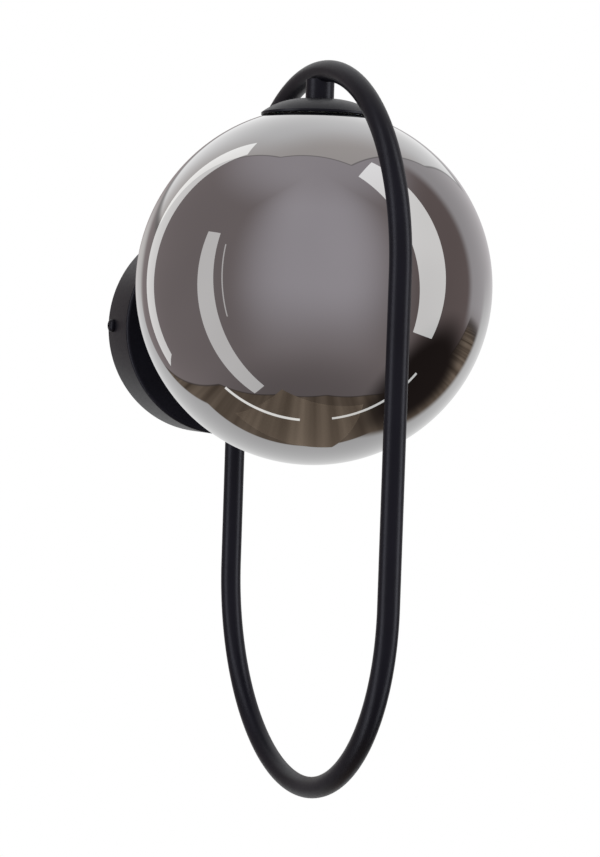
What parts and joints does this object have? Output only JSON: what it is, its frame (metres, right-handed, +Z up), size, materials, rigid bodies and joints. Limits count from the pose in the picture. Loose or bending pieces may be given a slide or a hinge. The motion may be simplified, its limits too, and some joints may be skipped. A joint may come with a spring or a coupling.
{
  "type": "globe wall sconce",
  "caption": "Wall sconce with a round wall plate, an upright closed loop of black tube and a smoked mirror-glass globe that hangs inside the top of the loop from a domed cap and screws off.",
  "frame": {"origin": "centre of the wall plate's back, on the wall, midway between the two wall screws", "axes": "+Z up, the room at -Y, the wall plane y = 0 and the tube loop standing in the plane x = 0"},
  "size_m": [0.2, 0.29, 0.4139],
  "materials": {
    "black_metal": "satin black powder coat",
    "plated_steel": "zinc plated",
    "tinned_brass": "tin plated",
    "brass": "bare",
    "aluminium": "turned",
    "natural_nylon": "moulded",
    "black_nylon": "moulded",
    "white_plastic": "moulded",
    "frosted_plastic": "frosted",
    "ceramic": "steatite",
    "smoked_glass": "smoked, mirror coated inside",
    "clear_silicone": "translucent",
    "brown_insulation": "silicone sleeve",
    "blue_insulation": "silicone sleeve",
    "green_insulation": "green and yellow silicone sleeve"
  },
  "bodies": {
    "fixture": {"wall_bracket": "plated_steel", "earth_washer": "plated_steel", "earth_lug": "tinned_brass", "earth_screw": "plated_steel", "terminal_housing": "natural_nylon", "terminal_poles": "brass", "terminal_screws": "plated_steel", "block_screw": "plated_steel", "wall_plate": "black_metal", "plate_screws": "black_metal", "reinforcement": "plated_steel", "rear_washer": "plated_steel", "rear_nut": "plated_steel", "rear_nipple": "plated_steel", "wire_bush": "black_nylon", "loop_tube": "black_metal", "rear_neck": "black_metal", "top_neck": "black_metal", "top_nipple": "plated_steel", "globe_cap": "black_metal", "top_washer": "plated_steel", "top_nut": "plated_steel", "globe_carrier": "aluminium", "lampholder_body": "ceramic", "lampholder_screws": "plated_steel", "lampholder_contacts": "brass", "lamp_base": "white_plastic", "lamp_pins": "plated_steel", "lamp_cover": "frosted_plastic", "lamp_core": "white_plastic", "lead_live": "brown_insulation", "lead_neutral": "blue_insulation", "lead_earth": "green_insulation"},
    "washer": {"globe_gasket": "clear_silicone"},
    "globe": {"globe_glass": "smoked_glass", "globe_collar": "aluminium", "collar_bond": "clear_silicone"}
  },
  "joints": [
    {"name": "globe_drop", "type": "slide", "parent": "fixture", "child": "washer", "axis": [0, 0, 1], "range_m": [-0.0076, 0]},
    {"name": "globe_turn", "type": "hinge", "parent": "washer", "child": "globe", "pos_m": [0, -0.17, 0.0246], "axis": [0, 0, 1], "range_deg": [-900, 0]}
  ],
  "couplings": [
    {"joint": "globe_drop", "follows": "globe_turn", "m_per_rad": 0.00047746}
  ]
}
